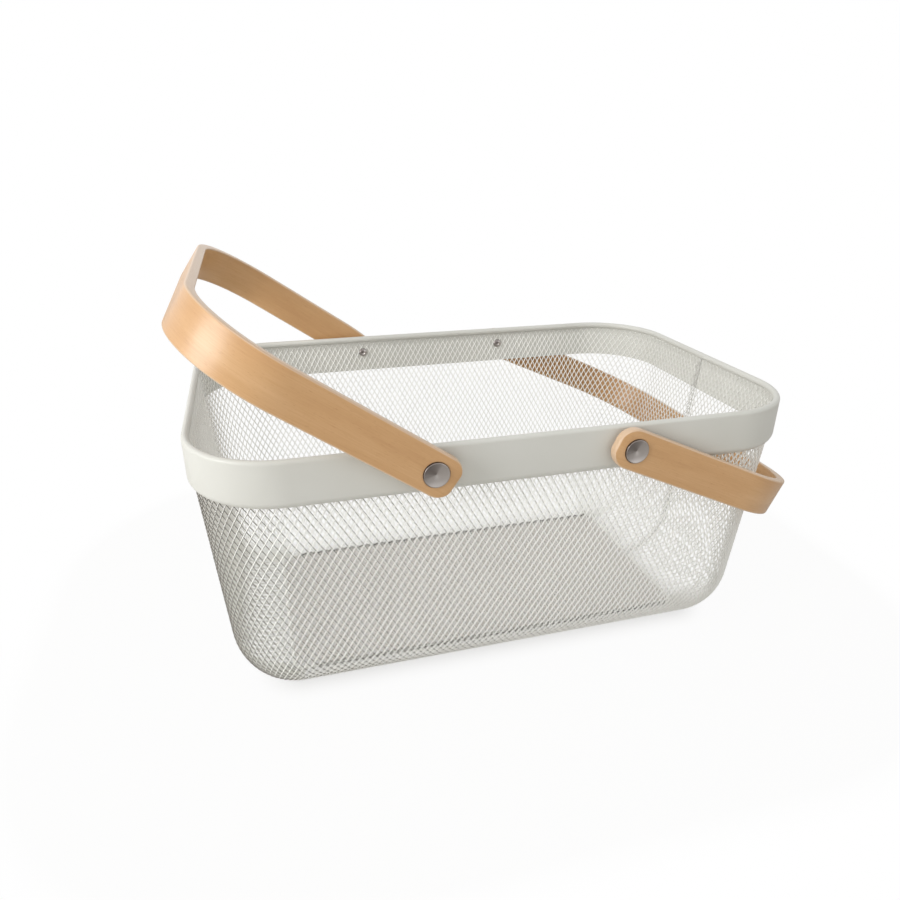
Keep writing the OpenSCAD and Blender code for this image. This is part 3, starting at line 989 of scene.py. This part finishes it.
def counterbored(name, whole, turn):
    """Cuts the shallow round seats for the two caps."""
    cutters, n = [], SEAT_STEPS
    angles = [2 * math.pi * k / n for k in range(n)]
    for face in (-1, 1):
        ring = [(SEAT_RADIUS * math.cos(a), SEAT_RADIUS * math.sin(a)) for a in angles]
        verts = [turn @ Vector((x, face * (DEPTH / 2 + y), z))
                 for y in (SEAT_FLOOR, SEAT_TOP) for x, z in ring]
        faces = [(k, (k + 1) % n, n + (k + 1) % n, n + k) for k in range(n)]
        faces += [tuple(range(n)), tuple(reversed(range(n, 2 * n)))]
        cutter = new_object("cutter", verts, faces, BEECH)
        make_outward(cutter.data)
        cut = whole.modifiers.new("seat", "BOOLEAN")
        cut.operation, cut.object, cut.solver = "DIFFERENCE", cutter, "EXACT"
        cutters.append(cutter)
    strap = run_modifiers(whole, name)
    strap.data.set_sharp_from_angle(angle=SHARP_ABOVE)
    for cutter in cutters:
        bpy.data.objects.remove(cutter)
    print(name, len(strap.data.polygons), "faces")
    return strap


def strap_turn(side, degrees):
    """Stands a level strap on its rivets: moved, turned about Y and mirrored for the left."""
    shift = Matrix.Translation((side * RIVET_X, 0, RIVET_Z))
    swing = Matrix.Rotation(math.radians(degrees), 4, "Y")
    return shift @ swing @ Matrix.Diagonal((side, 1, 1, 1))


left_strap = make_strap("left_strap", "handle_left", strap_turn(-1, 35), 9)
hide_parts("left_handle")
right_strap = make_strap("right_strap", "handle_right", strap_turn(1, 24.345), 11)
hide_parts("right_handle")

# %% [markdown]
# ## Rivets
# Each handle turns on two rivets. Outside there is a cap with a bright rim and a cone pressed into
# its face. Inside the band the end of the rivet is a small dome with a dimple. Both are outlines
# turned round the rivet's axis. The steel is brushed in circles, so its gloss and a faint share of
# its tone change round that axis. Its colour also holds a painted reflection: a dark sector towards
# the upper left. The washers keep their CAD shape and only get their nylon.


# %% Steel and nylon
def around_axis(board, angle, scale, detail):
    return board.add("ShaderNodeTexNoise", {"noise_dimensions": "1D"}, {
        "W": angle * scale, "Scale": 1, "Detail": detail})


def turned_steel():
    material, board = new_material("turned_steel")
    x, unused, z = split(board, board.add("ShaderNodeTexCoord", output="Object"))
    from_axis = (x.apply("ABSOLUTE") - RIVET_X * MM) * x.apply("SIGN")
    angle = (z - RIVET_Z * MM).apply("ARCTAN2", from_axis)
    # Painted reflection: a dark sector centred 2.3 radians round the axis, towards the upper left,
    # as if the cone mirrored something dark there.
    painted_dark_sector = (angle - 2.3).apply("COSINE") * 0.5 + 0.5
    tone = ramp(board, painted_dark_sector * 0.85 + around_axis(board, angle, 1.1, 1) * 0.15,
                (0.0, linear(180, 174, 170)), (0.62, linear(170, 164, 161)),
                (1.0, linear(104, 96, 93)))
    finish_material(board, colour=tone, metallic=1.0,
                    roughness=0.26 + 0.12 * around_axis(board, angle, 14, 2))
    return material


def matt_nylon():
    material, board = new_material("matt_nylon")
    grain = noise(board, board.add("ShaderNodeTexCoord", output="Object"), 900, 2)
    tone = ramp(board, grain, (0.3, linear(222, 220, 212)), (0.7, linear(232, 230, 223)))
    finish_material(
        board, colour=tone, roughness=0.5 + 0.1 * grain, normal=bump(board, grain, 0.15, 0.0001))
    return material


STEEL, NYLON = turned_steel(), matt_nylon()
print("rivets and washers:", STEEL.name, NYLON.name)

# %% Turned caps and rivet ends
CAP_RADIUS, CAP_SEAT, CAP_STEPS = 7.3, 7.7, 48
HEAD_RADIUS, SHANK_RADIUS, NECK, RIVET_STEPS = 3.5, 2.5, -2.2, 32
WELD_TURNED = 0.000005


def turned(name, outline, side, face, steps):
    """Turns (radius, height) points round a rivet's axis. Height is outwards from the band."""
    angles = [2 * math.pi * k / steps for k in range(steps)]
    verts = [(side * RIVET_X + radius * math.cos(a), face * (DEPTH / 2 + height),
              RIVET_Z + radius * math.sin(a)) for radius, height in outline for a in angles]
    faces = [(i * steps + k, i * steps + (k + 1) % steps,
              (i + 1) * steps + (k + 1) % steps, (i + 1) * steps + k)
             for i in range(len(outline) - 1) for k in range(steps)]
    made = new_object(name, verts, faces, STEEL)
    make_outward(made.data, WELD_TURNED)
    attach(made, "basket")
    return made


def cap_outline():
    foot = [(0, 0), (CAP_RADIUS - 0.3, 0), (CAP_RADIUS, 0.3)]
    lip = arc((CAP_RADIUS - 0.45, 1.35), 0.45, 0, 110, 6)
    cone = [(CAP_RADIUS - 0.9, 1.62), (3.4, 1.06), (0.9, 0.62), (0.35, 0.42), (0, 0.38)]
    return [(r, CAP_SEAT + h) for r, h in foot + lip + cone]


def rivet_outline():
    shank = [(0, CAP_SEAT), (SHANK_RADIUS, CAP_SEAT), (SHANK_RADIUS, NECK)]
    dome = [(r, NECK - h * 0.55) for r, h in arc((0, 0.55), HEAD_RADIUS, 8, 66, 8)]
    dimple = [(1.0, -4.0), (0.6, -3.5), (0, -3.4)]
    return shank + dome + dimple


for face, depthwise in ((-1, "front"), (1, "back")):
    for side, lengthwise in ((-1, "left"), (1, "right")):
        where = depthwise + "_" + lengthwise
        cap = turned("turned_cap_" + where, cap_outline(), side, face, CAP_STEPS)
        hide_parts("rivet_cap_" + where)
        rivet = turned("turned_rivet_" + where, rivet_outline(), side, face, RIVET_STEPS)
        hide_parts("rivet_" + where)
        bpy.data.objects["washer_" + where].material_slots[0].material = NYLON
print("four caps and four rivets")
